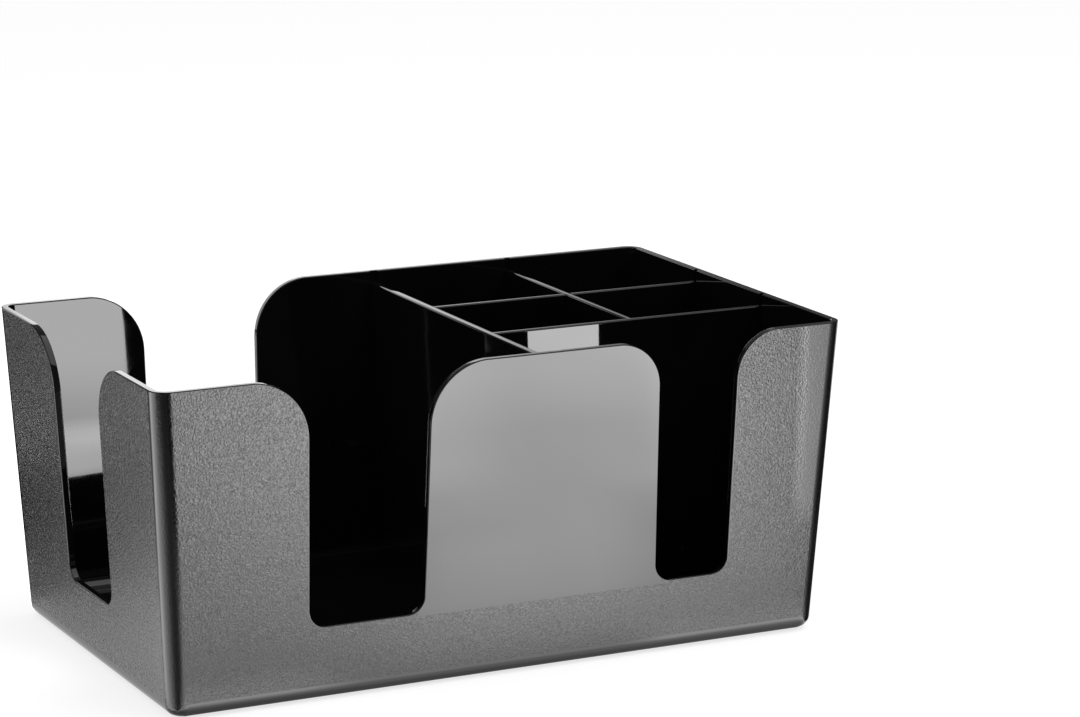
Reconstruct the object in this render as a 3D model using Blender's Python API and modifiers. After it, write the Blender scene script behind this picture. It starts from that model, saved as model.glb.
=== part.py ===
"""Bar caddy: a drafted tub with cut-down walls, split into six compartments by four panels.

X runs along the caddy, Y from its front to its back, and Z up from the table it stands on.
All sizes are in metres. The origin is on the table, under the middle of the caddy.
"""

import math

import bmesh
import bpy

# Driving dimensions of the tub
rim_length = 0.2400  # outside, along X, at the rim
rim_width = 0.1460  # outside, along Y, at the rim
body_height = 0.1050  # from the standing ring to the rim
end_lean = 0.0058  # how far each end wall leans out over the body's height
side_lean = 0.0060  # the same for the front and back walls
wall = 0.0024
floor_top = 0.0063  # height of the floor's upper face over the standing ring
floor_thickness = 0.0024
ring_width = 0.0050  # flat ring left round the recess under the floor
outer_corner = 0.0057  # radius of the upright corners, outside
base_edge = 0.0030  # radius round the bottom of the outside
recess_corner = 0.0040
rim_round = 0.0004  # softened edges of the rim and of the cut-outs

# Where the walls are cut down
sill_height = 0.0240  # over the standing ring, the same for every cut-out
napkin_cut_width = 0.0392  # at the sill, in the front, the back and the left end
napkin_cut_shoulder = 0.0195
napkin_cut_land = 0.0442  # front wall left standing between this cut-out and the main divider
bay_cut_width = 0.0264  # at the sill, in front of the front bay
bay_cut_shoulder = 0.0150
bay_cut_land = 0.0358
cut_corner = 0.0058  # radius at both ends of each sill
cut_flare = 0.0011  # how far each side of a cut-out opens from the sill to the rim

# The panels and the compartments that they leave
divider_drop = 0.0040  # from the rim down to the panels' top edges
main_thickness = 0.0026
panel_thickness = 0.0020
napkin_bay_length = 0.1270  # along X on the floor, from the left end wall to the main divider
front_bay_depth = 0.0473  # along Y at the rim, from the front wall to the front bay's divider
back_cell_depth = 0.0461  # along Y at the rim, from the back wall to the middle panel
left_cell_length = 0.0493  # along X, from the main divider to the cross panel
groove_depth = 0.0008  # grooves that house the panels' ends and feet
panel_round = 0.0006  # softened top edges of the panels

# The four feet
foot_diameter = 0.0110
foot_taper = 0.0005  # how much smaller a foot's radius is at the table
foot_edge = 0.0006
foot_stand = 0.0006  # how far the feet hold the standing ring off the table
foot_inset = 0.0095  # from the recess's sides to a foot's centre

# Between pieces that touch
clearance = 0.0003

# How finely curves are cut up
arc_steps = 6
shoulder_steps = 12
foot_sides = 32
overshoot = 0.0100  # how far a cutter runs past what it cuts
run_out = 0.00005  # how far a shoulder rises past the rim, so that it crosses it and doesn't just touch

# Heights over the table
ring_z = foot_stand
rim_z = ring_z + body_height
floor_z = ring_z + floor_top
recess_z = floor_z - floor_thickness
sill_z = ring_z + sill_height
divider_z = rim_z - divider_drop
inner_corner = outer_corner - wall

# Places along X and Y
end_slope = end_lean / body_height
side_slope = side_lean / body_height
floor_left_x = -rim_length / 2 + end_slope * (rim_z - floor_z) + wall
main_left_x = floor_left_x + napkin_bay_length
main_right_x = main_left_x + main_thickness
bay_divider_y = -rim_width / 2 + wall + front_bay_depth + panel_thickness / 2
middle_panel_y = rim_width / 2 - wall - back_cell_depth - panel_thickness / 2
cross_panel_x = main_right_x + left_cell_length + panel_thickness / 2
lap_z = (floor_z + divider_z) / 2
napkin_cut_x = main_left_x - napkin_cut_land - napkin_cut_width / 2
bay_cut_x = main_right_x + bay_cut_land + bay_cut_width / 2


def half_length(z):
    """Half the outside length at a height over the table."""
    return rim_length / 2 - end_slope * (rim_z - z)


def half_width(z):
    """Half the outside width at a height over the table."""
    return rim_width / 2 - side_slope * (rim_z - z)


def clear_scene():
    for old in list(bpy.data.objects):
        bpy.data.objects.remove(old, do_unlink=True)


def make_collection(name, parent):
    collection = bpy.data.collections.new(name)
    parent.children.link(collection)
    return collection


def make_material(name, colour, roughness):
    material = bpy.data.materials.new(name)
    material.use_nodes = True
    shader = material.node_tree.nodes["Principled BSDF"]
    shader.inputs["Base Color"].default_value = (*colour, 1.0)
    shader.inputs["Roughness"].default_value = roughness
    shader.inputs["Metallic"].default_value = 0.0
    return material


def add_object(name, mesh, collection):
    piece = bpy.data.objects.new(name, mesh)
    collection.objects.link(piece)
    return piece


def as_cutter(piece):
    piece.hide_render = True
    piece.display_type = "WIRE"
    return piece


def edges_at(bm, z):
    """The edges that lie flat at one height."""
    return [e for e in bm.edges if all(abs(v.co.z - z) < 1e-6 for v in e.verts)]


def upright_edges(bm):
    return [e for e in bm.edges if abs(e.verts[0].co.z - e.verts[1].co.z) > 1e-4]


def bevel(bm, edges, radius, steps):
    bmesh.ops.bevel(
        bm, geom=edges, offset=radius, offset_type="OFFSET", segments=steps,
        profile=0.5, affect="EDGES", clamp_overlap=True, material=-1,
    )


def drafted_box(low_z, high_z, inset):
    """A box whose sides follow the tub's outside, moved in by an inset."""
    bm = bmesh.new()
    bmesh.ops.create_cube(bm, size=2.0)
    for v in bm.verts:
        z = high_z if v.co.z > 0 else low_z
        v.co.x *= half_length(z) - inset
        v.co.y *= half_width(z) - inset
        v.co.z = z
    return bm


def finish_mesh(bm, name):
    mesh = bpy.data.meshes.new(name)
    bmesh.ops.recalc_face_normals(bm, faces=bm.faces)
    bm.to_mesh(mesh)
    bm.free()
    return mesh


def outside_form():
    """The tub's outside, with round upright corners and a round bottom edge."""
    bm = drafted_box(ring_z, rim_z, 0.0)
    bevel(bm, upright_edges(bm), outer_corner, arc_steps)
    bevel(bm, edges_at(bm, ring_z), base_edge, arc_steps // 2)
    return finish_mesh(bm, "caddy_body")


def inside_form():
    """The room inside the tub, with a cove of the corners' radius round the floor."""
    bm = drafted_box(floor_z, rim_z + overshoot, wall)
    edges = upright_edges(bm) + edges_at(bm, floor_z)
    bevel(bm, edges, inner_corner, arc_steps)
    return finish_mesh(bm, "cut_inside")


def recess_form():
    """The shallow recess under the floor, inside the standing ring."""
    bm = bmesh.new()
    bmesh.ops.create_cube(bm, size=2.0)
    for v in bm.verts:
        v.co.x *= half_length(ring_z) - ring_width
        v.co.y *= half_width(ring_z) - ring_width
        v.co.z = recess_z if v.co.z > 0 else ring_z - overshoot
    bevel(bm, upright_edges(bm), recess_corner, arc_steps)
    return finish_mesh(bm, "cut_recess")


def arc(centre, radius, start, end, steps):
    """Points on an arc in a flat outline, from one angle to another."""
    points = []
    for i in range(steps + 1):
        angle = start + (end - start) * i / steps
        points.append((centre[0] + radius * math.cos(angle), centre[1] + radius * math.sin(angle)))
    return points


def foot_corner(x, z, slope, radius):
    """The lower right corner of an outline: a sill or foot line at z meets a side leaning out."""
    if radius == 0:
        return [(x, z)]
    lean = math.atan(slope)
    touch_z = z + radius * (1 - math.sin(lean))
    centre = (x + slope * (touch_z - z) - radius * math.cos(lean), z + radius)
    return arc(centre, radius, -math.pi / 2, -lean, arc_steps)


def shoulder(x, z, slope, radius):
    """Where a cut-out's right side, which starts at (x, z), turns over into the rim."""
    lean = math.atan(slope)
    centre_z = rim_z - radius + run_out
    touch_z = centre_z + radius * math.sin(lean)
    centre = (x + slope * (touch_z - z) + radius * math.cos(lean), centre_z)
    return arc(centre, radius, math.pi - lean, math.pi / 2, shoulder_steps)


def mirrored(points):
    return [(-x, z) for x, z in reversed(points)]


def cut_outline(width, shoulder_radius):
    """A cut-out seen square on, centred on its own x = 0."""
    slope = cut_flare / (rim_z - sill_z)
    right = foot_corner(width / 2, sill_z, slope, cut_corner)
    right += shoulder(width / 2, sill_z, slope, shoulder_radius)
    right.append((right[-1][0], rim_z + overshoot))
    return right + mirrored(right)


def slotted(points, x, width, mouth_z, end_z):
    """An outline with a slot let into the straight edge that ends the list, at height mouth_z."""
    return points + [
        (x + width / 2, mouth_z),
        (x + width / 2, end_z),
        (x - width / 2, end_z),
        (x - width / 2, mouth_z),
    ]


def slotted_foot(points, y, width):
    """The cross panel's outline with its half of the lap let in from below."""
    foot_z = points[-1][1]
    end_z = lap_z + clearance
    return points + [
        (y - width / 2, foot_z),
        (y - width / 2, end_z),
        (y + width / 2, end_z),
        (y + width / 2, foot_z),
    ]


def housed_corner(half_size, slope, centre, grow):
    """The lower corner of a panel that is housed in an outer wall and in the floor.

    half_size is the tub's outside at the floor, centre the outline's own zero, and grow how far
    the panel reaches past the wall's inner face.
    """
    foot_z = floor_z - grow
    x = half_size - wall - centre + grow - slope * grow
    return foot_corner(x, foot_z, slope, inner_corner + grow)


def main_outline(grow, top_z):
    right = housed_corner(half_width(floor_z), side_slope, 0.0, grow)
    right.append((right[-1][0] + side_slope * (top_z - right[-1][1]), top_z))
    return right + mirrored(right)


def lengthwise_outline(grow, top_z):
    """A panel from the main divider to the right end wall. Its own zero is the divider's face."""
    right = housed_corner(half_length(floor_z), end_slope, main_right_x, grow)
    right.append((right[-1][0] + end_slope * (top_z - right[-1][1]), top_z))
    return right + [(-grow, top_z), (-grow, floor_z - grow)]


def crosswise_outline(grow, top_z):
    """The cross panel, from the front bay's divider to the back wall. Its own zero is that divider."""
    face_y = bay_divider_y + panel_thickness / 2
    right = housed_corner(half_width(floor_z), side_slope, face_y, grow)
    right.append((right[-1][0] + side_slope * (top_z - right[-1][1]), top_z))
    return right + [(-grow, top_z), (-grow, floor_z - grow)]


def flat_piece(name, points, thickness, place, turned, collection):
    """A flat outline in X and Z, or turned into Y and Z, given a thickness and made a mesh."""
    curve = bpy.data.curves.new(name, "CURVE")
    curve.dimensions = "2D"
    curve.fill_mode = "BOTH"
    curve.extrude = thickness / 2
    spline = curve.splines.new("POLY")
    spline.points.add(len(points) - 1)
    for point, (x, z) in zip(spline.points, points):
        point.co = (x, z, 0.0, 1.0)
    spline.use_cyclic_u = True
    shape = add_object(name + "_outline", curve, collection)
    shape.location = place
    shape.rotation_euler = (math.pi / 2, 0.0, math.pi / 2 if turned else 0.0)
    bpy.context.view_layer.update()
    mesh = bpy.data.meshes.new_from_object(shape.evaluated_get(bpy.context.evaluated_depsgraph_get()))
    bm = bmesh.new()
    bm.from_mesh(mesh)
    bmesh.ops.remove_doubles(bm, verts=bm.verts, dist=1e-6)
    bmesh.ops.recalc_face_normals(bm, faces=bm.faces)
    bm.to_mesh(mesh)
    bm.free()
    mesh.name = name
    piece = add_object(name, mesh, collection)
    piece.matrix_world = shape.matrix_world.copy()
    bpy.data.objects.remove(shape, do_unlink=True)
    return piece


def round_top(panel):
    """Soften the long edges along the top of a panel, before its ends are cut."""
    bm = bmesh.new()
    bm.from_mesh(panel.data)
    top = [e for e in bm.edges if all(abs(v.co.y - divider_z) < 1e-6 for v in e.verts)]
    long_edges = [e for e in top if abs(e.verts[0].co.x - e.verts[1].co.x) > panel_thickness]
    bevel(bm, long_edges, panel_round, 2)
    bm.to_mesh(panel.data)
    bm.free()


def cut(piece, cutter):
    modifier = piece.modifiers.new(cutter.name, "BOOLEAN")
    modifier.operation = "DIFFERENCE"
    modifier.solver = "EXACT"
    modifier.object = cutter


def cut_by_all(piece, cutters):
    """Cut a piece by a whole collection in one step, which leaves no slivers between the cuts."""
    modifier = piece.modifiers.new(cutters.name, "BOOLEAN")
    modifier.operation = "DIFFERENCE"
    modifier.solver = "EXACT"
    modifier.operand_type = "COLLECTION"
    modifier.collection = cutters


def soften(piece, radius, angle):
    modifier = piece.modifiers.new("soft_edges", "BEVEL")
    modifier.width = radius
    modifier.segments = 2
    modifier.limit_method = "ANGLE"
    modifier.angle_limit = angle
    piece.modifiers.new("flat_faces", "TRIANGULATE")


def build_dividers(parts, groove_cutters):
    """The four panels, each with a cutter that is its housing: the same outline and a clearance."""
    housed = groove_depth - clearance
    slot = panel_thickness + 2 * clearance
    face_y = bay_divider_y + panel_thickness / 2
    above = rim_z + overshoot
    outlines = {
        "main_divider": (main_outline, (main_left_x + main_thickness / 2, 0.0, 0.0), True, main_thickness),
        "front_bay_divider": (lengthwise_outline, (main_right_x, bay_divider_y, 0.0), False, panel_thickness),
        "middle_panel": (lengthwise_outline, (main_right_x, middle_panel_y, 0.0), False, panel_thickness),
        "cross_panel": (crosswise_outline, (cross_panel_x, face_y, 0.0), True, panel_thickness),
    }
    panels = {}
    housings = {}
    for name, (outline, place, turned, thickness) in outlines.items():
        points = outline(housed, divider_z)
        if name == "middle_panel":
            corner = points[:-2]
            inner_end = points[-2:]
            points = slotted(corner, cross_panel_x - main_right_x, slot, divider_z, lap_z) + inner_end
        if name == "cross_panel":
            points = slotted_foot(points, middle_panel_y - face_y, slot)
        panels[name] = flat_piece(name, points, thickness, place, turned, parts)
        round_top(panels[name])
        room = outline(groove_depth, above)
        width = thickness + 2 * clearance
        housings[name] = as_cutter(flat_piece("cut_" + name, room, width, place, turned, groove_cutters))
    return panels, housings


def build_body(parts, wall_cutters, groove_cutters):
    body = add_object("caddy_body", outside_form(), parts)
    as_cutter(add_object("cut_inside", inside_form(), wall_cutters))
    as_cutter(add_object("cut_recess", recess_form(), wall_cutters))
    napkin_points = cut_outline(napkin_cut_width, napkin_cut_shoulder)
    bay_points = cut_outline(bay_cut_width, bay_cut_shoulder)
    reach = 2 * (side_lean + wall + overshoot)
    front = -rim_width / 2
    cut_places = [
        ("cut_front_napkin", napkin_points, (napkin_cut_x, front, 0.0), False),
        ("cut_back_napkin", napkin_points, (napkin_cut_x, -front, 0.0), False),
        ("cut_front_bay", bay_points, (bay_cut_x, front, 0.0), False),
        ("cut_left_end", napkin_points, (-rim_length / 2, 0.0, 0.0), True),
    ]
    for name, points, place, turned in cut_places:
        as_cutter(flat_piece(name, points, reach, place, turned, wall_cutters))
    cut_by_all(body, wall_cutters)
    soften(body, rim_round, math.radians(60))
    cut_by_all(body, groove_cutters)
    return body


def build_foot(name, x, y, mesh, parts):
    foot = add_object(name, mesh, parts)
    foot.location = (x, y, 0.0)
    return foot


def foot_form():
    """A short tapered stud, flat on the table, that ends just under the recess."""
    height = recess_z - clearance
    bm = bmesh.new()
    bmesh.ops.create_cone(
        bm, cap_ends=True, segments=foot_sides, radius1=foot_diameter / 2 - foot_taper,
        radius2=foot_diameter / 2, depth=height,
    )
    bmesh.ops.translate(bm, verts=bm.verts, vec=(0.0, 0.0, height / 2))
    bevel(bm, edges_at(bm, 0.0), foot_edge, 2)
    return finish_mesh(bm, "foot")


def build_feet(parts):
    x = half_length(ring_z) - ring_width - foot_inset
    y = half_width(ring_z) - ring_width - foot_inset
    mesh = foot_form()
    feet = []
    for end, side_x in (("left", -x), ("right", x)):
        for side, side_y in (("front", -y), ("back", y)):
            feet.append(build_foot(f"foot_{side}_{end}", side_x, side_y, mesh, parts))
    return feet


def main():
    clear_scene()
    root = bpy.context.scene.collection
    parts = make_collection("bar_caddy", root)
    cutters = make_collection("cutters", root)
    wall_cutters = make_collection("wall_cutters", cutters)
    groove_cutters = make_collection("groove_cutters", cutters)
    panels, housings = build_dividers(parts, groove_cutters)
    body = build_body(parts, wall_cutters, groove_cutters)
    cut(panels["main_divider"], housings["front_bay_divider"])
    cut(panels["main_divider"], housings["middle_panel"])
    cut(panels["front_bay_divider"], housings["cross_panel"])
    feet = build_feet(parts)

    body.data.materials.append(make_material("body_moulding", (0.10, 0.10, 0.10), 0.45))
    for name, panel in panels.items():
        panel.data.materials.append(make_material(name + "_moulding", (0.006, 0.006, 0.006), 0.08))
    feet[0].data.materials.append(make_material("foot_rubber", (0.02, 0.02, 0.02), 0.8))


main()
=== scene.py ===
"""Bar caddy with its finish: a grained and polished tub, four polished panels and four rubber feet."""

import math

import bmesh
import bpy
from mathutils import Matrix, Vector, noise


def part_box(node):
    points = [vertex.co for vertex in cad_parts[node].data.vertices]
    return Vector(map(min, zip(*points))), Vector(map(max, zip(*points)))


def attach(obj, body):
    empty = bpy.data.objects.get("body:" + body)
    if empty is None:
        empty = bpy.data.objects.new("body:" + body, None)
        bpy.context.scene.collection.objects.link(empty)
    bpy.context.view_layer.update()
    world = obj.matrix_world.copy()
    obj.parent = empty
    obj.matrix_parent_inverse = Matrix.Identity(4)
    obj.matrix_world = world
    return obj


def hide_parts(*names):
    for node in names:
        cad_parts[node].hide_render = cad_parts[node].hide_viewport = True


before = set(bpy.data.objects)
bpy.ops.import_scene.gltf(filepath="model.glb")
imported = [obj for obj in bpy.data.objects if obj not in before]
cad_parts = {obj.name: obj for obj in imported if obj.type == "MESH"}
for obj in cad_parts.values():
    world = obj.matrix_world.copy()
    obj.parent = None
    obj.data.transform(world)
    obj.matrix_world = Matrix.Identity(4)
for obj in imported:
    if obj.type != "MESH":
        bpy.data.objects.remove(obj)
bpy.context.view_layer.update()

MM = 0.001

# The heights and the main divider's place come from the frame, the rest are the moulding's own sizes
body_low, body_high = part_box("caddy_body")
divider_low, divider_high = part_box("main_divider")
ring_z = body_low.z
rim_z = body_high.z
panel_top_z = divider_high.z
rim_half_length = 120.0 * MM
rim_half_width = 73.0 * MM
end_lean = 5.8 * MM
side_lean = 6.0 * MM
end_slope = end_lean / (rim_z - ring_z)
side_slope = side_lean / (rim_z - ring_z)
wall = 2.4 * MM
floor_z = ring_z + 6.3 * MM
floor_thickness = 2.4 * MM
ring_width = 5.0 * MM
outer_corner = 5.7 * MM
inner_corner = outer_corner - wall
base_edge = 3.6 * MM
recess_corner = 4.0 * MM
rim_round = 0.4 * MM

# Where the walls are cut down
sill_z = ring_z + 24.0 * MM
cut_corner = 5.8 * MM
cut_flare = 1.1 * MM
napkin_cut_width = 39.2 * MM
napkin_cut_shoulder = 19.5 * MM
napkin_cut_land = 44.2 * MM
napkin_cut_x = divider_low.x - napkin_cut_land - napkin_cut_width / 2
bay_cut_width = 26.4 * MM
bay_cut_shoulder = 15.0 * MM
bay_cut_land = 35.8 * MM
bay_cut_x = divider_high.x + bay_cut_land + bay_cut_width / 2

# The smooth field in the middle of the front
smooth_below_sill = 0.9 * MM
smooth_under_cut = 2.0 * MM
smooth_low = sill_z - smooth_below_sill
smooth_left = napkin_cut_x + napkin_cut_width / 2 - smooth_under_cut
smooth_right = bay_cut_x - bay_cut_width / 2 + smooth_under_cut

# The grain stops short of the base's rounding and of the corners of the ends
grain_low = ring_z + 4.8 * MM
smooth_margin = 0.7 * MM

# Where the grain is smoother, from the first trace of it to the full wear. Wear by hands is a guess
worn_place = {"X": (102.5 * MM, 107.0 * MM), "Y": (-62.0 * MM, -67.0 * MM), "Z": (36.0 * MM, 48.0 * MM)}
worn_roughness = 0.12
worn_depth = 0.02 * MM

# The panels stand in grooves that open at the rim
groove_depth = 0.8 * MM
housed = 0.5 * MM
snug = 0.03 * MM
panel_round = 0.6 * MM

# The feet
foot_taper = 0.5 * MM
foot_edge = 0.6 * MM
foot_sides = 64
foot_edge_steps = 4

# How the inside of the back wall's narrow part comes in towards its cut-out
bow_start_x = -112.0 * MM
bow_length = 44.0 * MM
bow_height = 30.0 * MM
bow_depth = 0.29 * MM
bow_columns = 7
bow_column = 6.0 * MM
bow_rows = 8
bow_row = 9.0 * MM
bow_first_row = 8.0 * MM

# How finely curves are cut up
corner_steps = 14
cove_steps = 12
shoulder_steps = 28
rim_steps = 4
overshoot = 10.0 * MM
run_out = 0.05 * MM

# The camera, from the corners and rims in the photograph
photo_width = 1080
focal_pixels = 3846.1
camera_azimuth = math.radians(-26.625)
camera_elevation = math.radians(12.603)
camera_roll = math.radians(0.151)
camera_distance = 1289.1 * MM
camera_right = 40.80 * MM
camera_up = 87.40 * MM
sensor_width = 36.0

# The stage
floor_reach = 6.0
glow_height = 0.4 * MM


def half_length(z):
    """Half the tub's outside length at a height over the table."""
    return rim_half_length - end_slope * (rim_z - z)


def half_width(z):
    """Half the tub's outside width at a height over the table."""
    return rim_half_width - side_slope * (rim_z - z)


def round_off(bm, geom, radius, steps, affect="EDGES"):
    """Round some edges, or some corners of a flat outline."""
    bmesh.ops.bevel(
        bm, geom=geom, offset=radius, offset_type="OFFSET", segments=steps,
        profile=0.5, affect=affect, clamp_overlap=True, material=-1,
    )


def upright(bm):
    """The edges that climb."""
    return [e for e in bm.edges if abs(e.verts[0].co.z - e.verts[1].co.z) > 1e-4]


def level(bm, z):
    """The edges that lie at a height."""
    return [e for e in bm.edges if all(abs(v.co.z - z) < 1e-6 for v in e.verts)]


def drafted_block(low_z, high_z, inset):
    """A block whose sides follow the tub's outside, moved in by an inset."""
    bm = bmesh.new()
    bmesh.ops.create_cube(bm, size=2.0)
    for v in bm.verts:
        z = high_z if v.co.z > 0 else low_z
        v.co.x *= half_length(z) - inset
        v.co.y *= half_width(z) - inset
        v.co.z = z
    return bm


def as_object(bm, name):
    """Turn a bmesh into an object at the origin, with its faces pointing out."""
    bmesh.ops.recalc_face_normals(bm, faces=bm.faces)
    mesh = bpy.data.meshes.new(name)
    bm.to_mesh(mesh)
    bm.free()
    piece = bpy.data.objects.new(name, mesh)
    bpy.context.scene.collection.objects.link(piece)
    return piece


def outside_block():
    """The tub's outside, before anything is cut from it."""
    bm = drafted_block(ring_z, rim_z, 0.0)
    round_off(bm, upright(bm), outer_corner, corner_steps)
    round_off(bm, level(bm, ring_z), base_edge, corner_steps // 2)
    return as_object(bm, "caddy_tub")


def inside_block():
    """The hollow between the walls, with the coves round the floor."""
    bm = drafted_block(floor_z, rim_z + overshoot, wall)
    round_off(bm, upright(bm) + level(bm, floor_z), inner_corner, cove_steps)
    return as_object(bm, "inside")


def recess_block():
    """The hollow under the floor, inside the ring that the walls stand on."""
    bm = drafted_block(ring_z - overshoot, floor_z - floor_thickness, 0.0)
    for v in bm.verts:
        v.co.x = math.copysign(half_length(ring_z) - ring_width, v.co.x)
        v.co.y = math.copysign(half_width(ring_z) - ring_width, v.co.y)
    round_off(bm, upright(bm), recess_corner, corner_steps)
    return as_object(bm, "recess")


def slab(corners, rounded, thickness, place, quarter_turn):
    """A flat outline in X and Z, with some corners rounded, given a thickness along Y and put in its place.

    rounded holds (corner numbers, radius, steps), from the last corners to the first.
    """
    bm = bmesh.new()
    verts = [bm.verts.new((x, -thickness / 2, z)) for x, z in corners]
    bm.faces.new(verts)
    for numbers, radius, steps in rounded:
        round_off(bm, [verts[i] for i in numbers], radius, steps, "VERTICES")
    made = bmesh.ops.extrude_face_region(bm, geom=bm.faces[:])["geom"]
    moved = [g for g in made if isinstance(g, bmesh.types.BMVert)]
    bmesh.ops.translate(bm, verts=moved, vec=(0.0, thickness, 0.0))
    turn = Matrix.Rotation(math.pi / 2 if quarter_turn else 0.0, 4, "Z")
    bmesh.ops.transform(bm, matrix=Matrix.Translation(place) @ turn, verts=bm.verts)
    return bm


def cut_block(name, width, shoulder, place, quarter_turn):
    """What a cut-out takes away: a slot with round lower corners that opens over two shoulders."""
    half = width / 2
    mouth = half + cut_flare
    lip_z = rim_z + run_out
    wide = mouth + shoulder + overshoot
    top_z = rim_z + overshoot
    corners = [
        (-half, sill_z), (half, sill_z), (mouth, lip_z), (wide, lip_z),
        (wide, top_z), (-wide, top_z), (-wide, lip_z), (-mouth, lip_z),
    ]
    rounded = [((2, 7), shoulder, shoulder_steps), ((0, 1), cut_corner, corner_steps)]
    reach = 2 * (wall + overshoot)
    return as_object(slab(corners, rounded, reach, place, quarter_turn), name)


def main_slab(grow, top_z, spare):
    """The full-depth panel, or its groove: both its ends lean with the walls that hold them."""
    foot_z = floor_z - grow
    foot = half_width(foot_z) - wall + grow
    top = half_width(top_z) - wall + grow
    corners = [(-top, top_z), (-foot, foot_z), (foot, foot_z), (top, top_z)]
    place = Vector(((divider_low.x + divider_high.x) / 2, 0.0, 0.0))
    thickness = divider_high.x - divider_low.x + spare
    return slab(corners, [((1, 2), inner_corner + grow, cove_steps)], thickness, place, True)


def lengthwise_slab(node, grow, top_z, spare):
    """A panel from the main divider to the right end wall, or its groove."""
    low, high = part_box(node)
    start = divider_high.x
    foot_z = floor_z - grow
    foot = half_length(foot_z) - wall + grow
    top = half_length(top_z) - wall + grow
    corners = [(start - grow, top_z), (start - grow, foot_z), (foot, foot_z), (top, top_z)]
    if node == "middle_panel" and spare == 0.0:
        corners += cross_slot(top_z)
    place = Vector((0.0, (low.y + high.y) / 2, 0.0))
    return slab(corners, [((2,), inner_corner + grow, cove_steps)], high.y - low.y + spare, place, False)


def cross_slot(top_z):
    """Four corners of the half lap, let into the middle panel from above."""
    low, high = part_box("cross_panel")
    lap_z = (floor_z + top_z) / 2
    return [(high.x + snug, top_z), (high.x + snug, lap_z), (low.x - snug, lap_z), (low.x - snug, top_z)]


def cross_slab(grow, top_z, spare):
    """The short panel across the cells, from the front bay's divider to the back wall."""
    low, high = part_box("cross_panel")
    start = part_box("front_bay_divider")[1].y
    foot_z = floor_z - grow
    foot = half_width(foot_z) - wall + grow
    top = half_width(top_z) - wall + grow
    corners = [(start - grow, top_z), (start - grow, foot_z)]
    if spare == 0.0:
        middle_low, middle_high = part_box("middle_panel")
        lap_z = (floor_z + top_z) / 2 + snug
        corners += [(middle_low.y - snug, foot_z), (middle_low.y - snug, lap_z),
                    (middle_high.y + snug, lap_z), (middle_high.y + snug, foot_z)]
    corners += [(foot, foot_z), (top, top_z)]
    place = Vector(((low.x + high.x) / 2, 0.0, 0.0))
    rounded = [((len(corners) - 2,), inner_corner + grow, cove_steps)]
    return slab(corners, rounded, high.x - low.x + spare, place, True)


panel_makers = {
    "main_divider": main_slab,
    "front_bay_divider": lambda *sizes: lengthwise_slab("front_bay_divider", *sizes),
    "middle_panel": lambda *sizes: lengthwise_slab("middle_panel", *sizes),
    "cross_panel": cross_slab,
}


def cut_by_all(piece, cutters):
    """Take several blocks away from a piece in one step, and remove them."""
    group = bpy.data.collections.new("taken_away")
    for cutter in cutters:
        group.objects.link(cutter)
    modifier = piece.modifiers.new("taken_away", "BOOLEAN")
    modifier.operation = "DIFFERENCE"
    modifier.solver = "EXACT"
    modifier.operand_type = "COLLECTION"
    modifier.collection = group
    apply_modifiers(piece)
    for cutter in cutters:
        bpy.data.objects.remove(cutter, do_unlink=True)
    bpy.data.collections.remove(group)


def apply_modifiers(piece):
    """Give a piece the mesh that its modifiers make, and no modifiers."""
    deps = bpy.context.evaluated_depsgraph_get()
    mesh = bpy.data.meshes.new_from_object(piece.evaluated_get(deps))
    mesh.name = piece.name
    old = piece.data
    piece.modifiers.clear()
    piece.data = mesh
    bpy.data.meshes.remove(old)


def soften(piece, radius, steps, least_angle):
    """Round the sharp edges that are left on a piece."""
    modifier = piece.modifiers.new("soft_edges", "BEVEL")
    modifier.width = radius
    modifier.segments = steps
    modifier.limit_method = "ANGLE"
    modifier.angle_limit = least_angle
    apply_modifiers(piece)


def shade(piece):
    """Smooth shading that keeps flat faces flat, as on a moulding."""
    mesh = piece.data
    mesh.shade_smooth()
    mesh.set_sharp_from_angle(angle=math.radians(35))
    modifier = piece.modifiers.new("flat_faces", "WEIGHTED_NORMAL")
    modifier.mode = "FACE_AREA"
    modifier.keep_sharp = True
    modifier.weight = 100


def divide(bm, faces, place, facing):
    """Cut some faces in two along a plane."""
    geom = faces + list({e for f in faces for e in f.edges}) + list({v for f in faces for v in f.verts})
    bmesh.ops.bisect_plane(bm, geom=geom, plane_co=place, plane_no=facing)
    bm.normal_update()


def make_tub():
    """The moulded tub: hollowed, cut down, rounded at every edge, and grooved for the panels."""
    tub = outside_block()
    front = (napkin_cut_x, -rim_half_width, 0.0)
    back = (napkin_cut_x, rim_half_width, 0.0)
    bay_front = (bay_cut_x, -rim_half_width, 0.0)
    left_end = (-rim_half_length, 0.0, 0.0)
    cuts = [
        cut_block("front_napkin_cut", napkin_cut_width, napkin_cut_shoulder, front, False),
        cut_block("back_napkin_cut", napkin_cut_width, napkin_cut_shoulder, back, False),
        cut_block("front_bay_cut", bay_cut_width, bay_cut_shoulder, bay_front, False),
        cut_block("left_end_cut", napkin_cut_width, napkin_cut_shoulder, left_end, True),
    ]
    cut_by_all(tub, [inside_block(), recess_block()] + cuts)
    soften(tub, rim_round, rim_steps, math.radians(50))
    grooves = []
    for name, maker in panel_makers.items():
        grooves.append(as_object(maker(groove_depth, rim_z + overshoot, 2 * snug), name + "_groove"))
    cut_by_all(tub, grooves)
    bow_in(tub)
    shade(tub)
    return tub


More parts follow.
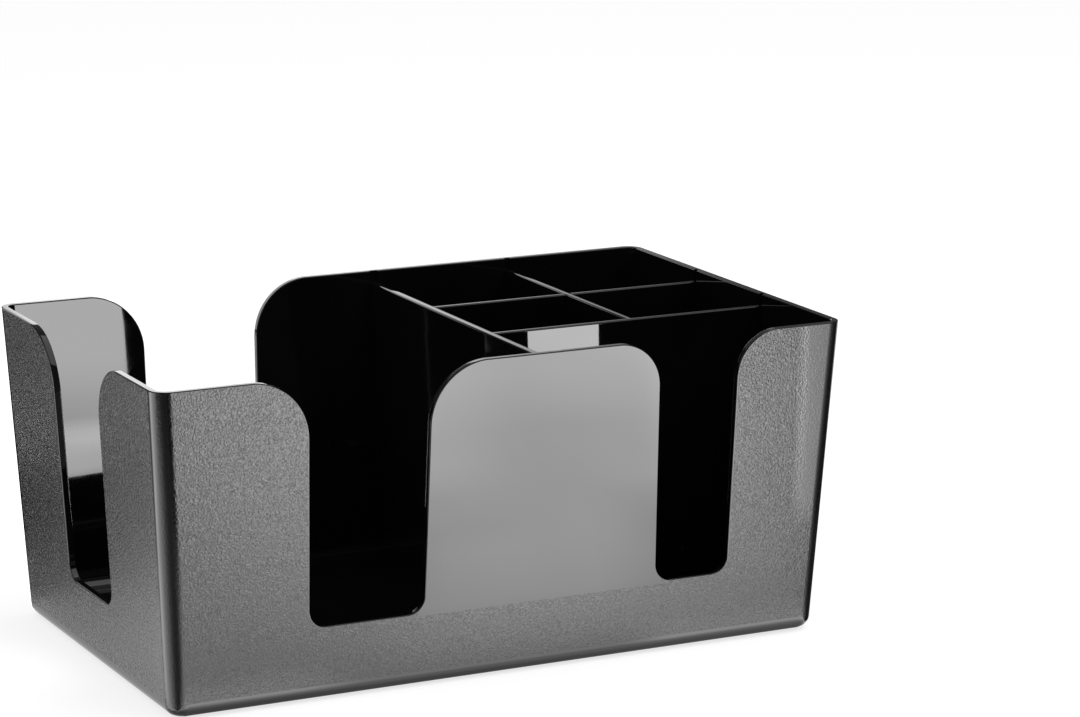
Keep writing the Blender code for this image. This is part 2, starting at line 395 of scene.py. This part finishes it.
def bow_in(tub):
    """Let the inside of the back wall's narrow part come in a little. That the wall shrank is a guess."""
    bm = bmesh.new()
    bm.from_mesh(tub.data)

    def inner_faces():
        behind = half_width(floor_z) - wall - inner_corner
        return [f for f in bm.faces if f.normal.y < -0.99 and f.calc_center_median().y > behind]

    for step in range(bow_columns):
        divide(bm, inner_faces(), (bow_start_x + step * bow_column, 0.0, 0.0), (1.0, 0.0, 0.0))
    for step in range(bow_rows):
        divide(bm, inner_faces(), (0.0, 0.0, sill_z + bow_first_row + step * bow_row), (0.0, 0.0, 1.0))
    cut_left = napkin_cut_x - napkin_cut_width / 2 + cut_corner
    for v in bm.verts:
        into_wall = v.co.y - (half_width(v.co.z) - wall)
        if abs(into_wall) < rim_round + snug and bow_start_x < v.co.x < cut_left and v.co.z > sill_z:
            along = (v.co.x - bow_start_x) / bow_length
            up = min(1.0, (v.co.z - sill_z) / bow_height)
            v.co.y -= bow_depth * along * along * up * up * (3.0 - 2.0 * up)
    bm.to_mesh(tub.data)
    bm.free()


def make_panel(name):
    """A panel with softened top edges."""
    bm = panel_makers[name](housed, panel_top_z, 0.0)
    low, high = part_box(name)
    top = level(bm, panel_top_z)
    span = min(high.x - low.x, high.y - low.y)
    long_edges = [e for e in top if e.calc_length() > span + snug]
    round_off(bm, long_edges, panel_round, rim_steps)
    piece = as_object(bm, name + "_moulding")
    shade(piece)
    return piece


def linear(hex_colour):
    """An sRGB hex colour as linear light."""
    values = []
    for i in (1, 3, 5):
        c = int(hex_colour[i:i + 2], 16) / 255
        values.append(c / 12.92 if c <= 0.04045 else ((c + 0.055) / 1.055) ** 2.4)
    return (*values, 1.0)


def add_node(tree, kind, settings=None, inputs=None, links=None, stops=()):
    """Add a node with its settings, its sockets' values, the links into it and a ramp's coloured stops."""
    node = tree.nodes.new(kind)
    for name, value in (settings or {}).items():
        setattr(node, name, value)
    for name, value in (inputs or {}).items():
        node.inputs[name].default_value = value
    for name, socket in (links or {}).items():
        tree.links.new(socket, node.inputs[name])
    for number, (place, colour) in enumerate(stops):
        node.color_ramp.elements[number].position = place
        node.color_ramp.elements[number].color = linear(colour)
    return node


def new_material(name):
    """A material with a shader, its nodes' tree, and the place on the object that its patterns read."""
    material = bpy.data.materials.new(name)
    material.use_nodes = True
    tree = material.node_tree
    tree.nodes.clear()
    shader = add_node(tree, "ShaderNodeBsdfPrincipled")
    add_node(tree, "ShaderNodeOutputMaterial", links={"Surface": shader.outputs["BSDF"]})
    where = add_node(tree, "ShaderNodeTexCoord").outputs["Object"]
    return material, tree, shader, where


def per_metre(size):
    """The scale of a pattern whose features are this large."""
    return 1.0 / size


def spark_eroded_abs(name, depth, glossy, dull, glint_fleck_colour):
    """Black ABS moulded against a spark-eroded steel wall: a fine grain that glitters grey.

    The real grain is 0.1 to 0.2 mm wide, which is too fine to show, so it is drawn coarser. Its glossiest
    flecks are also coloured paler, which is a painted glint on top of the glitter that the roughness gives.
    """
    grain_width = 0.65 * MM
    fleck_width = 0.68 * MM
    material, tree, shader, where = new_material(name)
    shader.inputs["IOR"].default_value = 1.53
    grain = add_node(tree, "ShaderNodeTexNoise", inputs={
        "Scale": per_metre(grain_width), "Detail": 1.0, "Roughness": 0.5}, links={"Vector": where})
    fleck = add_node(tree, "ShaderNodeTexNoise", inputs={
        "Scale": per_metre(fleck_width), "Detail": 1.0, "Roughness": 0.5}, links={"Vector": where})
    # The flecks are paler where the grain is glossiest: partly the plastic's own random tone, partly a
    # painted glint
    colour = add_node(tree, "ShaderNodeValToRGB", links={"Fac": fleck.outputs["Fac"]},
                      stops=[(0.35, "#080808"), (0.65, glint_fleck_colour)])
    tree.links.new(colour.outputs["Color"], shader.inputs["Base Color"])
    rough = add_node(tree, "ShaderNodeMapRange", inputs={
        "From Min": 0.35, "From Max": 0.65, "To Min": dull, "To Max": glossy},
        links={"Value": fleck.outputs["Fac"]})
    worn = worn_share(tree, where)
    rough_left = add_node(tree, "ShaderNodeMix", {"data_type": "FLOAT"}, {"B": worn_roughness},
                          {"Factor": worn, "A": rough.outputs["Result"]})
    tree.links.new(rough_left.outputs["Result"], shader.inputs["Roughness"])
    depth_left = add_node(tree, "ShaderNodeMapRange", inputs={"To Min": depth, "To Max": worn_depth},
                          links={"Value": worn})
    bump = add_node(tree, "ShaderNodeBump", inputs={"Strength": 1.0}, links={
        "Height": grain.outputs["Fac"], "Distance": depth_left.outputs["Result"]})
    tree.links.new(bump.outputs["Normal"], shader.inputs["Normal"])
    return material


def worn_share(tree, where):
    """How far the grain is worn down: wholly beside the right front corner, and nowhere else."""
    place = add_node(tree, "ShaderNodeSeparateXYZ", links={"Vector": where})
    masks = [add_node(tree, "ShaderNodeMapRange", inputs={"From Min": start, "From Max": full},
                      links={"Value": place.outputs[axis]}).outputs["Result"]
             for axis, (start, full) in worn_place.items()]
    worn = masks[0]
    for mask in masks[1:]:
        both = add_node(tree, "ShaderNodeMath", {"operation": "MULTIPLY"}, links={0: worn, 1: mask})
        worn = both.outputs[0]
    return worn


def polished_abs(name):
    """Black ABS moulded against polished steel: a mirror gloss, faintly wavy where the wall shrank."""
    haze_width = 22.0 * MM
    wave_width = 30.0 * MM
    wave_depth = 0.01 * MM
    material, tree, shader, where = new_material(name)
    shader.inputs["IOR"].default_value = 1.53
    haze = add_node(tree, "ShaderNodeTexNoise", inputs={
        "Scale": per_metre(haze_width), "Detail": 3.0, "Roughness": 0.6}, links={"Vector": where})
    colour = add_node(tree, "ShaderNodeValToRGB", links={"Fac": haze.outputs["Fac"]},
                      stops=[(0.3, "#0b0b0b"), (0.7, "#101010")])
    tree.links.new(colour.outputs["Color"], shader.inputs["Base Color"])
    rough = add_node(tree, "ShaderNodeMapRange", inputs={
        "From Min": 0.3, "From Max": 0.7, "To Min": 0.015, "To Max": 0.04},
        links={"Value": haze.outputs["Fac"]})
    tree.links.new(rough.outputs["Result"], shader.inputs["Roughness"])
    wave = add_node(tree, "ShaderNodeTexNoise", inputs={
        "Scale": per_metre(wave_width), "Detail": 1.0, "Roughness": 0.4}, links={"Vector": where})
    bump = add_node(tree, "ShaderNodeBump", inputs={"Strength": 1.0, "Distance": wave_depth},
                    links={"Height": wave.outputs["Fac"]})
    tree.links.new(bump.outputs["Normal"], shader.inputs["Normal"])
    return material


def moulded_rubber():
    """Black rubber, moulded against a blasted wall: matte, with a fine dull grain."""
    grain_width = 0.6 * MM
    grain_depth = 0.03 * MM
    material, tree, shader, where = new_material("moulded_rubber")
    shader.inputs["IOR"].default_value = 1.52
    grain = add_node(tree, "ShaderNodeTexNoise", inputs={
        "Scale": per_metre(grain_width), "Detail": 2.0, "Roughness": 0.5}, links={"Vector": where})
    colour = add_node(tree, "ShaderNodeValToRGB", links={"Fac": grain.outputs["Fac"]},
                      stops=[(0.3, "#151515"), (0.7, "#242424")])
    tree.links.new(colour.outputs["Color"], shader.inputs["Base Color"])
    rough = add_node(tree, "ShaderNodeMapRange", inputs={
        "From Min": 0.3, "From Max": 0.7, "To Min": 0.7, "To Max": 0.9},
        links={"Value": grain.outputs["Fac"]})
    tree.links.new(rough.outputs["Result"], shader.inputs["Roughness"])
    bump = add_node(tree, "ShaderNodeBump", inputs={"Strength": 0.6, "Distance": grain_depth},
                    links={"Height": grain.outputs["Fac"]})
    tree.links.new(bump.outputs["Normal"], shader.inputs["Normal"])
    return material


def outside_faces(bm):
    """The flat outer faces of the four walls."""
    found = []
    for face in bm.faces:
        centre = face.calc_center_median()
        n = face.normal
        outward = max(n.x * math.copysign(1, centre.x), n.y * math.copysign(1, centre.y))
        gap = max(abs(centre.x) - half_length(centre.z), abs(centre.y) - half_width(centre.z))
        if outward > 0.995 and abs(n.z) < 0.2 and gap > -0.3 * MM:
            found.append(face)
    return found


def finish_tub(tub):
    """Grain on the flat outside and round its corners, and polish on the rest and on the smooth field.

    The ends are grained more deeply than the front and back, and their colour is darker as painted shade. The
    upright corners next to the front and back are glossier, with a still darker colour that is painted shade.
    """
    finishes = [
        spark_eroded_abs("spark_eroded_abs", 0.18 * MM, 0.24, 0.44, "#323232"),
        # Darker flecks on the ends: painted shade
        spark_eroded_abs("coarser_grained_shaded_end_abs", 0.36 * MM, 0.13, 0.30, "#262626"),
        # Darker flecks still on the corners next to the front and back: painted shade
        spark_eroded_abs("glossy_shaded_corner_abs", 0.08 * MM, 0.10, 0.26, "#1c1c1c"),
        polished_abs("polished_abs"),
    ]
    for finish in finishes:
        tub.data.materials.append(finish)
    side_grain, shaded_end_grain, shaded_corner, polish = range(len(finishes))
    bm = bmesh.new()
    bm.from_mesh(tub.data)
    divide(bm, outside_faces(bm), (0.0, 0.0, grain_low), (0.0, 0.0, 1.0))
    margin_y = half_width(rim_z) - outer_corner - smooth_margin
    for side in (-1.0, 1.0):
        ends = [f for f in outside_faces(bm) if abs(f.normal.x) > 0.99]
        divide(bm, ends, (0.0, side * margin_y, rim_z), (0.0, 1.0, -side * side_slope))
    field_edges = (
        ((0.0, 0.0, smooth_low), (0.0, 0.0, 1.0)),
        ((smooth_left, 0.0, 0.0), (1.0, 0.0, 0.0)),
        ((smooth_right, 0.0, 0.0), (1.0, 0.0, 0.0)),
    )
    for place, facing in field_edges:
        divide(bm, [f for f in outside_faces(bm) if f.normal.y < -0.99], place, facing)
    for face in bm.faces:
        face.material_index = shaded_corner if on_corner(face) else polish
    for face in outside_faces(bm):
        centre = face.calc_center_median()
        past_margin = abs(face.normal.x) > 0.99 and abs(centre.y) > margin_y - side_slope * (rim_z - centre.z)
        in_field = face.normal.y < -0.99 and smooth_left < centre.x < smooth_right and centre.z > smooth_low
        if centre.z > grain_low and not past_margin and not in_field:
            face.material_index = side_grain if abs(face.normal.y) > 0.99 else shaded_end_grain
    bm.to_mesh(tub.data)
    bm.free()


def on_corner(face):
    """Whether a face is on the part of an upright outer corner that is next to the front or the back."""
    centre = face.calc_center_median()
    n = face.normal
    outward = n.x * centre.x > 0 and n.y * centre.y > 0 and abs(n.z) < 0.2
    at_corner = (abs(centre.x) > half_length(centre.z) - outer_corner and
                 abs(centre.y) > half_width(centre.z) - outer_corner)
    return outward and at_corner and 0.7 * abs(n.x) < abs(n.y) < 0.995 and centre.z > ring_z + base_edge


def make_foot(name, rubber):
    """A turned rubber stud with a softened lower edge."""
    low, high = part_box(name)
    radius = (high.x - low.x) / 2
    bm = bmesh.new()
    bmesh.ops.create_cone(bm, cap_ends=True, segments=foot_sides, radius1=radius - foot_taper, radius2=radius,
                          depth=high.z - low.z)
    bmesh.ops.translate(bm, verts=bm.verts, vec=(low + high) / 2)
    round_off(bm, level(bm, low.z), foot_edge, foot_edge_steps)
    foot = as_object(bm, name + "_stud")
    foot.data.materials.append(rubber)
    shade(foot)
    return foot


def settle(piece, node):
    """Hand a finished piece to the frame in the place of its solid."""
    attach(piece, "root")
    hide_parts(node)


def make_floor():
    """A wide pale floor. It is white to the camera and keeps the caddy's soft shadow."""
    bm = bmesh.new()
    bmesh.ops.create_grid(bm, x_segments=1, y_segments=1, size=floor_reach)
    floor = as_object(bm, "floor")
    material = bpy.data.materials.new("white_paper")
    material.use_nodes = True
    tree = material.node_tree
    tree.nodes.clear()
    paper = add_node(tree, "ShaderNodeBsdfDiffuse", inputs={"Color": linear("#c8c8c8")})
    glow = add_node(tree, "ShaderNodeEmission", inputs={"Color": linear("#ffffff"), "Strength": 0.75})
    both = add_node(tree, "ShaderNodeAddShader", links={0: paper.outputs[0], 1: glow.outputs[0]})
    rays = add_node(tree, "ShaderNodeLightPath")
    pick = add_node(tree, "ShaderNodeMixShader", links={
        0: rays.outputs["Is Camera Ray"], 1: paper.outputs[0], 2: both.outputs[0]})
    add_node(tree, "ShaderNodeOutputMaterial", links={"Surface": pick.outputs[0]})
    floor.data.materials.append(material)


def make_world():
    """White to the camera and plain soft light on the object. What the gloss mirrors of it is a dim
    room, a little lighter behind the caddy than where the photographer stands."""
    world = bpy.data.worlds.new("studio")
    bpy.context.scene.world = world
    world.use_nodes = True
    tree = world.node_tree
    tree.nodes.clear()
    white = linear("#ffffff")
    where = add_node(tree, "ShaderNodeTexCoord").outputs["Generated"]
    behind = add_node(tree, "ShaderNodeVectorMath", {"operation": "DOT_PRODUCT"}, {1: (-0.4, 0.8, 0.45)},
                      {0: where})
    room = add_node(tree, "ShaderNodeMapRange", inputs={
        "From Min": 0.2, "From Max": 1.0, "To Min": 0.08, "To Max": 0.25},
        links={"Value": behind.outputs["Value"]})
    seen = add_node(tree, "ShaderNodeBackground", inputs={"Color": white, "Strength": 1.0})
    soft = add_node(tree, "ShaderNodeBackground", inputs={"Color": white, "Strength": 0.35})
    mirrored = add_node(tree, "ShaderNodeBackground", inputs={"Color": white},
                        links={"Strength": room.outputs["Result"]})
    rays = add_node(tree, "ShaderNodeLightPath")
    gloss = add_node(tree, "ShaderNodeMixShader", links={
        0: rays.outputs["Is Glossy Ray"], 1: soft.outputs[0], 2: mirrored.outputs[0]})
    pick = add_node(tree, "ShaderNodeMixShader", links={
        0: rays.outputs["Is Camera Ray"], 1: gloss.outputs[0], 2: seen.outputs[0]})
    add_node(tree, "ShaderNodeOutputWorld", links={"Surface": pick.outputs[0]})


def between(stops, value):
    """The reading at a value, on straight lines from stop to stop."""
    if value <= stops[0][0]:
        return stops[0][1]
    for (start, low), (end, high) in zip(stops, stops[1:]):
        if value <= end:
            return low + (high - low) * (value - start) / (end - start)
    return stops[-1][1]


# The front mirrors the floor along lines that run this way, and the ends along steeper ones
front_turn = -63.4
rear_turn = 116.6
front_slant = 0.5008
end_slant = 2.12

# Round the right front corner the light starts at this and halves with each such turn, in degrees
right_corner_start = 5.8
right_corner_halving = 7.8
right_corner_least = 0.05

# The lit floor as the gloss mirrors it. Each table holds pairs: a distance from the base in mm, a place
# along the wall that mirrors the floor in mm, or a turn round a corner in degrees from +X, and then the
# radiance there, where 1 is white. The three by place hold shares of the front's radiance by distance.
# The radiances were first worked out from tones in the photograph, and then changed.
front_by_distance = [(-3, 0.3), (-1.5, 0.7), (0, 1.9), (3, 1.9), (5, 2.4), (8, 5.2), (13, 5.4), (18, 3.5),
                     (36, 4.8), (60, 5.8), (90, 6.3), (120, 6.4), (180, 6.7), (210, 6.9), (240, 7.4),
                     (270, 8.2), (300, 8.5)]
foot_by_place = [(-114, 0.95), (-72, 0.95), (-50, 0.6), (45, 0.6), (60, 0.95), (114, 0.97)]
near_by_place = [(-114, 0.60), (-60, 0.66), (-25, 0.96), (0, 1.03), (35, 1.02), (60, 0.85), (114, 0.74)]
far_by_place = [(-114, 1.1), (-90, 1.22), (-40, 1.16), (0, 1.0), (55, 1.08), (75, 1.38), (90, 1.62),
                (114, 1.85)]
far_by_side = [(60, 6.7), (160, 8.5), (250, 10.9), (400, 10.0)]
horizon = 9.0
round_left_corner = [(-180, 2.1), (-150, 0.5), (-130, 0.22), (-116, 0.22), (-104, 0.6), (front_turn, 4.8)]
round_left_side = [(118, 0.4), (130, 3.4), (142, 3.8), (180, 2.1)]
round_back_corner = [(45, 0.05), (90, 2.5)]
left_front_part = [(0, 1.0), (6, 1.15), (33, 1.25), (42, 1.0), (54, 0.76), (78, 0.54), (120, 0.36),
                   (400, 0.25)]
left_rear_part = [(0, 1.0), (8, 1.0), (12, 0.65), (19, 0.5), (30, 0.44), (66, 0.4), (82, 0.4),
                  (100, 0.28), (125, 0.12), (150, 0.06)]
behind_by_turn = [(45, 1.0), (75, 4.5), (88, 4.5), (96, 1.4), (114, 0.35)]
behind_all_along = 4.5
unlit_corner = 0.03
unlit_end = 0.003
strip_behind_end = 1.8

# Where one of them gives way to the next, from none of it to all of it
foot_zone = [(3, 0), (6, 1)]
near_zone = [(14, 0), (20, 1)]
far_zone = [(100, 0), (190, 1)]
farther_zone = [(290, 0), (350, 1)]
horizon_zone = [(400, 0), (600, 1)]
front_from_turn = [(-86, 0), (-72, 1)]
unlit_from_distance = [(-112, 240), (-104, 85)]
unlit_fade = 45.0
rear_part_zone = [(-42, 0), (40, 1)]
unlit_end_zone = [(70, 0), (100, 1)]
strip_zone = [(260, 0), (270, 1), (300, 1), (310, 0)]
corner_shade = [(0, 0.2), (3, 1.0)]
back_shade = [(0, 0.3), (3, 1.0)]

# The lit floor is a little uneven, in patches this wide in mm
patch_width = 55.0
unevenness = [(60, 0.048), (120, 0.16), (350, 0.0)]

# The wall far behind, in mm: lit from left to right, with a lit arch that the back cut-out's round
# shoulder mirrors
wall_y = 900.0
wall_middle_x = -250.0
wall_middle_z = 290.0
wall_half_width = 1250.0
wall_half_height = 280.0
wall_cell = 20.0
arch_light = 1.8
arch_edge = [(40, 1), (70, 0)]
unlit_wall = 0.05
wall_lit_by_side = [(100, 0.05), (190, 2.5), (224, 2.5), (330, 1.9), (443, 1.3), (500, 0.8), (560, 0.4),
                    (631, 0.12)]
arch_radius = 400.0
arch_middle_x = -10.0
arch_middle_z = 95.0
arch_end_turn = 28.0


def mix(low, high, share):
    """The value that is this share of the way from low to high."""
    return low + (high - low) * share


def front_light(x, off, place):
    """The bright floor in front of the caddy."""
    by_place = mix(1.0, between(foot_by_place, place), between(foot_zone, off))
    by_place = mix(by_place, between(near_by_place, place), between(near_zone, off))
    by_place = mix(by_place, between(far_by_place, place), between(far_zone, off))
    near = between(front_by_distance, off) * by_place
    far = mix(between(far_by_side, x), horizon, between(horizon_zone, off))
    return mix(near, far, between(farther_zone, off))


def left_corner_light(x, off, place, turn):
    """The floor before the left front corner: dim near it, unlit further out, bright towards the front."""
    near = between(round_left_corner, turn) * between(corner_shade, off)
    far = mix(unlit_corner, front_light(x, off, place), between(front_from_turn, turn))
    unlit_from = between(unlit_from_distance, turn)
    return mix(near, far, between([(unlit_from, 0), (unlit_from + unlit_fade, 1)], off))


def left_end_light(off, place):
    """The dim floor beside the left end, unlit towards the back, with a lit strip far behind."""
    light = mix(between(left_front_part, off), between(left_rear_part, off), between(rear_part_zone, place))
    light = mix(light, unlit_end, between(unlit_end_zone, place))
    return mix(light, strip_behind_end, between(strip_zone, place))


def back_light(x, y, off, right_turn, reach_x, reach_y):
    """The lit floor behind the caddy, which fades round the corners of the back."""
    back_turn = math.degrees(math.atan2(y - reach_y, x + (reach_x if x < 0 else -reach_x)))
    light = between(behind_by_turn, back_turn) if abs(x) > reach_x else behind_all_along
    if x > reach_x:
        light = max(light, right_corner_light(right_turn))
    return light * between(back_shade, off)


def right_corner_light(turn):
    """The floor beside the right end: the front's light dies away, and the back's comes in."""
    dying = right_corner_start * 0.5 ** ((turn - front_turn) / right_corner_halving)
    return max(dying, right_corner_least, between(round_back_corner, turn))


def floor_light(x, y, off):
    """What the gloss mirrors at a place on the floor: bright in front, dim on the left, dark on the right."""
    reach_x = half_length(ring_z) / MM
    reach_y = half_width(ring_z) / MM
    left_turn = math.degrees(math.atan2(y + reach_y, x + reach_x))
    right_turn = math.degrees(math.atan2(y + reach_y, x - reach_x))
    place = x + front_slant * (y + reach_y)
    if y < 0 and left_turn < front_turn:
        light = left_corner_light(x, off, place, left_turn)
    elif y < 0 and right_turn < front_turn:
        light = front_light(x, off, place)
    elif x > reach_x and y < reach_y:
        light = right_corner_light(right_turn)
    elif left_turn > rear_turn:
        light = between(round_left_side, left_turn)
    elif x < -reach_x:
        light = left_end_light(off, y - end_slant * (-reach_x - x))
    else:
        light = back_light(x, y, off, right_turn, reach_x, reach_y)
    patch = noise.noise(Vector((x / patch_width, y / patch_width, 0.0)))
    return light * (1.0 + between(unevenness, off) * patch)


def wall_light(x, z):
    """What the gloss mirrors on the wall far behind: lit in part on the left, unlit on the right."""
    aside = off_arch(x - arch_middle_x, z - arch_middle_z)
    return max(between(wall_lit_by_side, x), mix(unlit_wall, arch_light, between(arch_edge, aside)))


def off_arch(across, over):
    """How far a place is from the arch: from its straight left leg, its round top or its right end."""
    if across < 0 and over < 0:
        return abs(across + arch_radius)
    if math.degrees(math.atan2(over, across)) > arch_end_turn:
        return abs(math.hypot(across, over) - arch_radius)
    end_turn = math.radians(arch_end_turn)
    return math.hypot(across - arch_radius * math.cos(end_turn), over - arch_radius * math.sin(end_turn))


def make_glow(name, bm, from_above):
    """Stage light that only the gloss mirrors. It lights nothing, and the camera doesn't see it.

    It is dimmer where it is mirrored squarely, as the light on glossy paper is: from_above is the share
    that is left there.
    """
    glow = as_object(bm, name)
    material = bpy.data.materials.new(name)
    material.use_nodes = True
    tree = material.node_tree
    tree.nodes.clear()
    radiance = add_node(tree, "ShaderNodeAttribute", {"attribute_name": "radiance"}).outputs["Fac"]
    aslant = add_node(tree, "ShaderNodeLayerWeight", inputs={"Blend": 0.5}).outputs["Facing"]
    share = add_node(tree, "ShaderNodeMapRange", inputs={
        "From Min": 0.1, "From Max": 0.4, "To Min": from_above, "To Max": 1.0}, links={"Value": aslant})
    strength = add_node(tree, "ShaderNodeMath", {"operation": "MULTIPLY"},
                        links={0: radiance, 1: share.outputs["Result"]})
    lit = add_node(tree, "ShaderNodeEmission", links={"Strength": strength.outputs[0]})
    add_node(tree, "ShaderNodeOutputMaterial", links={"Surface": lit.outputs[0]})
    glow.data.materials.append(material)
    glow.visible_camera = False
    glow.visible_diffuse = False
    glow.visible_shadow = False


def make_floor_glow():
    """The lit floor round the tub, in rings at growing distances, in mm, that follow its base."""
    rings = [-3, -1.5, 0, 1.5, 3, 4, 5, 6.5, 8, 10.5, 13, 15.5, 18, 22, 27, 36, 46, 60, 80, 100, 120, 150,
             180, 210, 240, 270, 300, 350, 420, 500, 600, 800, 1000, 1300, 1800, 2600]
    fan = 60
    along = 24
    edge_x = half_length(ring_z) - outer_corner
    edge_y = half_width(ring_z) - outer_corner
    corners = [Vector((edge_x, -edge_y)), Vector((edge_x, edge_y)), Vector((-edge_x, edge_y)),
               Vector((-edge_x, -edge_y))]
    stations = []
    for number, corner in enumerate(corners):
        start = -90 + 90 * number
        following = corners[(number + 1) % 4]
        stations += [(corner, start + 90 * k / fan) for k in range(fan)]
        stations += [(corner.lerp(following, k / along), start + 90) for k in range(along)]
    stations.append((corners[0], 270))
    bm = bmesh.new()
    bmesh.ops.create_grid(bm, x_segments=len(stations) - 1, y_segments=len(rings) - 1, size=1.0)
    radiance = bm.verts.layers.float.new("radiance")
    for v in bm.verts:
        centre, turn = stations[round((v.co.x + 1) / 2 * (len(stations) - 1))]
        off = rings[round((v.co.y + 1) / 2 * (len(rings) - 1))]
        away = Vector((math.cos(math.radians(turn)), math.sin(math.radians(turn))))
        place = centre + away * (outer_corner + off * MM)
        outside = centre + away * (outer_corner + max(off, 0.2) * MM)
        v.co = (place.x, place.y, glow_height)
        v[radiance] = floor_light(outside.x / MM, outside.y / MM, off)
    make_glow("floor_glow", bm, 0.38)


def make_wall_glow():
    """The lit wall far behind the caddy, from just over the floor."""
    columns = round(2 * wall_half_width / wall_cell)
    rows = round(2 * wall_half_height / wall_cell)
    bm = bmesh.new()
    bmesh.ops.create_grid(bm, x_segments=columns, y_segments=rows, size=1.0)
    radiance = bm.verts.layers.float.new("radiance")
    for v in bm.verts:
        x = wall_middle_x + wall_half_width * v.co.x
        z = wall_middle_z + wall_half_height * v.co.y
        v.co = (x * MM, wall_y * MM, z * MM)
        v[radiance] = wall_light(x, z)
    make_glow("wall_glow", bm, 1.0)


def make_softbox(name, place, target, width, height, radiance):
    """A soft rectangular lamp that faces a target."""
    light = bpy.data.lights.new(name, "AREA")
    light.shape = "RECTANGLE"
    light.size = width
    light.size_y = height
    light.energy = radiance * math.pi * width * height
    lamp = bpy.data.objects.new(name, light)
    bpy.context.scene.collection.objects.link(lamp)
    away = (Vector(place) - Vector(target)).normalized()
    lamp.matrix_world = Matrix.Translation(place) @ away.to_track_quat("Z", "Y").to_matrix().to_4x4()
    lamp.visible_camera = False


def make_camera():
    """The camera at the photograph's viewing angle, with its framing."""
    cos_el = math.cos(camera_elevation)
    back = Vector((math.sin(camera_azimuth) * cos_el, -math.cos(camera_azimuth) * cos_el,
                   math.sin(camera_elevation)))
    right = Vector((math.cos(camera_azimuth), math.sin(camera_azimuth), 0.0))
    up = back.cross(right)
    turned_right = right * math.cos(camera_roll) + up * math.sin(camera_roll)
    turned_up = up * math.cos(camera_roll) - right * math.sin(camera_roll)
    place = back * camera_distance + turned_right * camera_right + turned_up * camera_up
    place.z += ring_z
    data = bpy.data.cameras.new("camera")
    data.sensor_fit = "HORIZONTAL"
    data.sensor_width = sensor_width
    data.lens = focal_pixels / photo_width * sensor_width
    data.clip_start = 0.05
    data.clip_end = 30.0
    camera = bpy.data.objects.new("camera", data)
    bpy.context.scene.collection.objects.link(camera)
    turn = Matrix((turned_right, turned_up, back)).transposed().to_4x4()
    camera.matrix_world = Matrix.Translation(place) @ turn
    bpy.context.scene.camera = camera


def main():
    """Make and finish every piece, then the stage, the lamps and the camera."""
    tub = make_tub()
    finish_tub(tub)
    settle(tub, "caddy_body")
    panel_finish = polished_abs("polished_panel_abs")
    for name in panel_makers:
        panel = make_panel(name)
        panel.data.materials.append(panel_finish)
        settle(panel, name)
    rubber = moulded_rubber()
    for end in ("left", "right"):
        for side in ("front", "back"):
            name = f"foot_{side}_{end}"
            settle(make_foot(name, rubber), name)
    make_floor()
    make_world()
    make_floor_glow()
    make_wall_glow()
    make_softbox("left_softbox", place=(-0.9, -0.1, 0.35), target=(-0.1, 0.0, 0.05),
                 width=0.5, height=0.7, radiance=1.0)
    make_softbox("top_softbox", place=(0.4, -0.3, 1.2), target=(0.0, 0.0, 0.0),
                 width=1.2, height=1.2, radiance=1.2)
    make_camera()
    bpy.context.scene.view_settings.view_transform = "Standard"


main()
